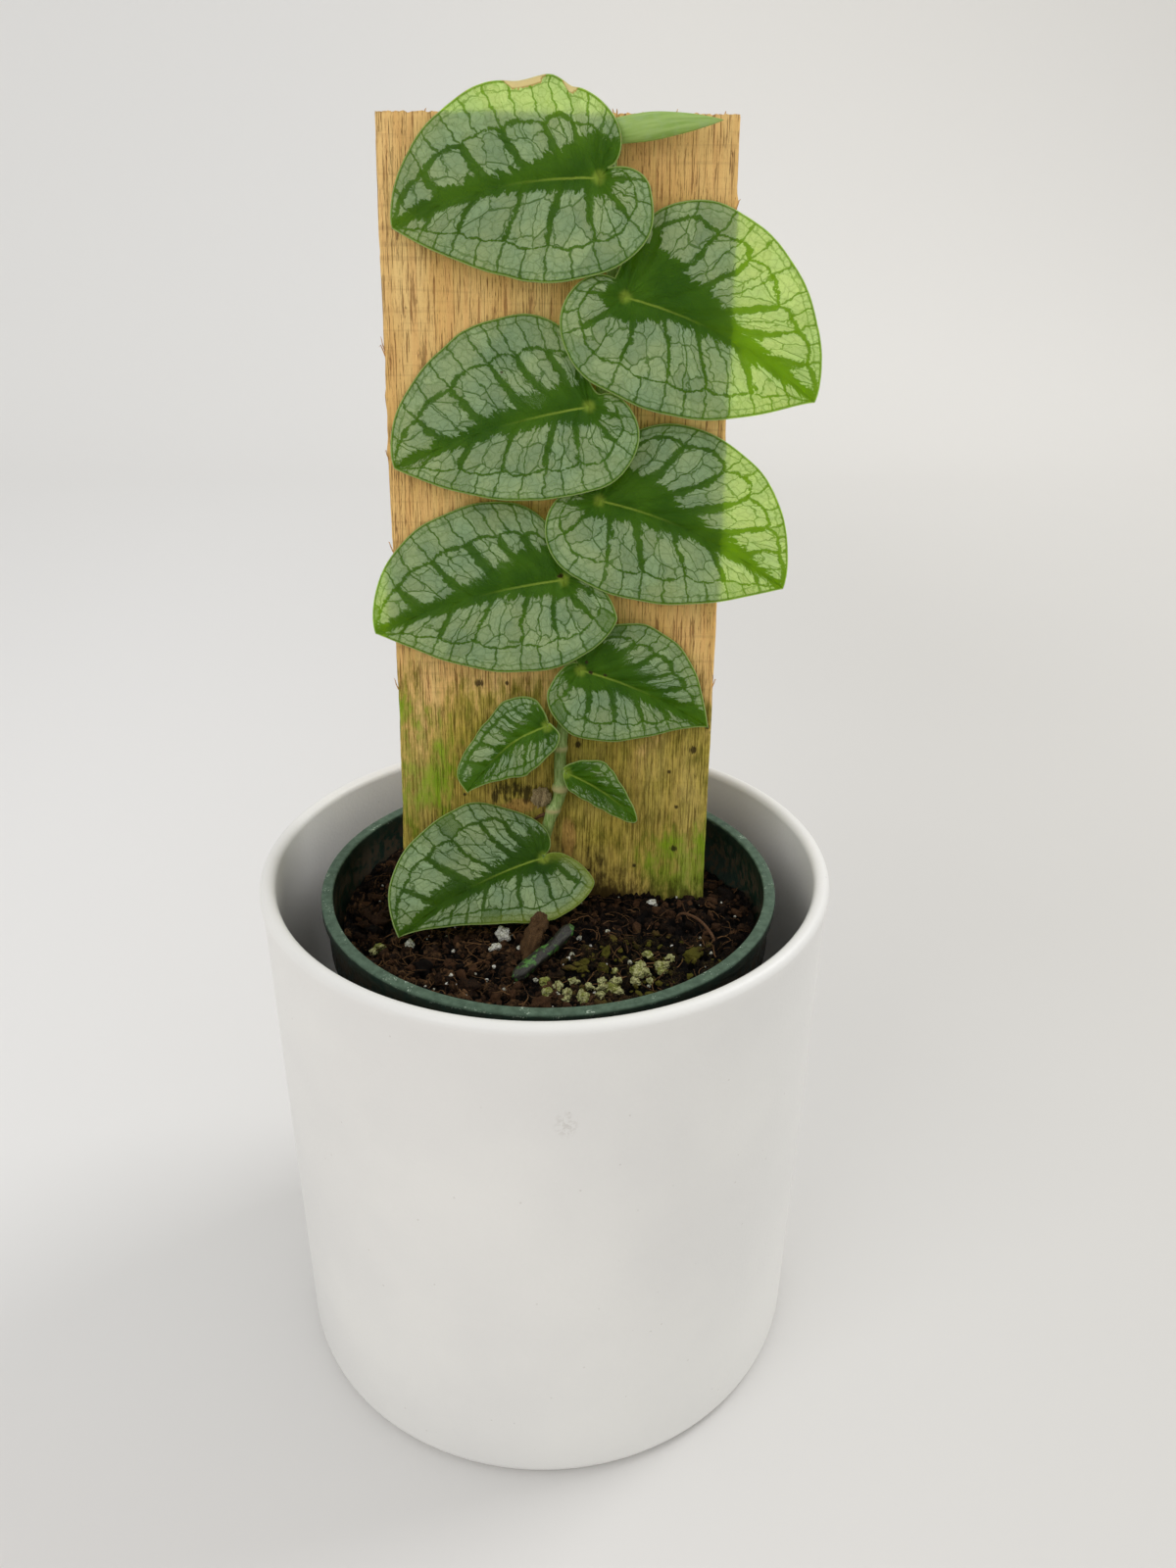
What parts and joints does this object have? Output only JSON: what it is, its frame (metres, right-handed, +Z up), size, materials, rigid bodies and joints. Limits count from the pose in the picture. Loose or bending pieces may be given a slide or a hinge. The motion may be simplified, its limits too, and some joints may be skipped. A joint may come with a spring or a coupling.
{
  "type": "potted monstera",
  "caption": "Young shingling monstera with flat heart-shaped silver-veined leaves on a sawn board, in a green nursery pot inside a straight white ceramic cachepot.",
  "frame": {"origin": "on the floor under the axis of the cachepot", "axes": "+Z up, -Y is the front, where the leaves face, and +X is to the right seen from the front"},
  "size_m": [0.1524, 0.1524, 0.338],
  "materials": {
    "ceramic": "satin",
    "green_plastic": "satin",
    "potting_mix": "matte",
    "sawn_wood": "matte",
    "stem": "satin",
    "leaf": "satin",
    "young_leaf": "satin",
    "root": "matte",
    "dry_sheath": "matte",
    "bark": "matte",
    "cut_stem": "matte",
    "perlite": "matte"
  },
  "bodies": {
    "root": {"cachepot": "ceramic", "nursery_pot": "green_plastic", "potting_mix": "potting_mix", "plank": "sawn_wood", "vine_stem": "stem", "leaf_1": "leaf", "leaf_2": "leaf", "leaf_3": "leaf", "leaf_4": "leaf", "leaf_5": "leaf", "leaf_6": "leaf", "leaf_7": "leaf", "leaf_8": "leaf", "leaf_9": "leaf", "stalk_1": "stem", "stalk_2": "stem", "stalk_3": "stem", "stalk_4": "stem", "stalk_5": "stem", "stalk_6": "stem", "stalk_7": "stem", "stalk_8": "stem", "stalk_9": "stem", "new_leaf": "young_leaf", "grip_root_1": "root", "grip_root_2": "root", "grip_root_3": "root", "grip_root_4": "root", "rootlet": "root", "dried_bract": "dry_sheath", "old_bark_stub": "bark", "cut_stem": "cut_stem", "bark_chip_1": "bark", "bark_chip_2": "bark", "bark_chip_3": "bark", "bark_chip_4": "bark", "bark_chip_5": "bark", "bark_chip_6": "bark", "perlite_1": "perlite", "perlite_2": "perlite", "perlite_3": "perlite", "perlite_4": "perlite", "perlite_5": "perlite", "perlite_6": "perlite", "perlite_7": "perlite", "perlite_8": "perlite"}
  },
  "joints": []
}
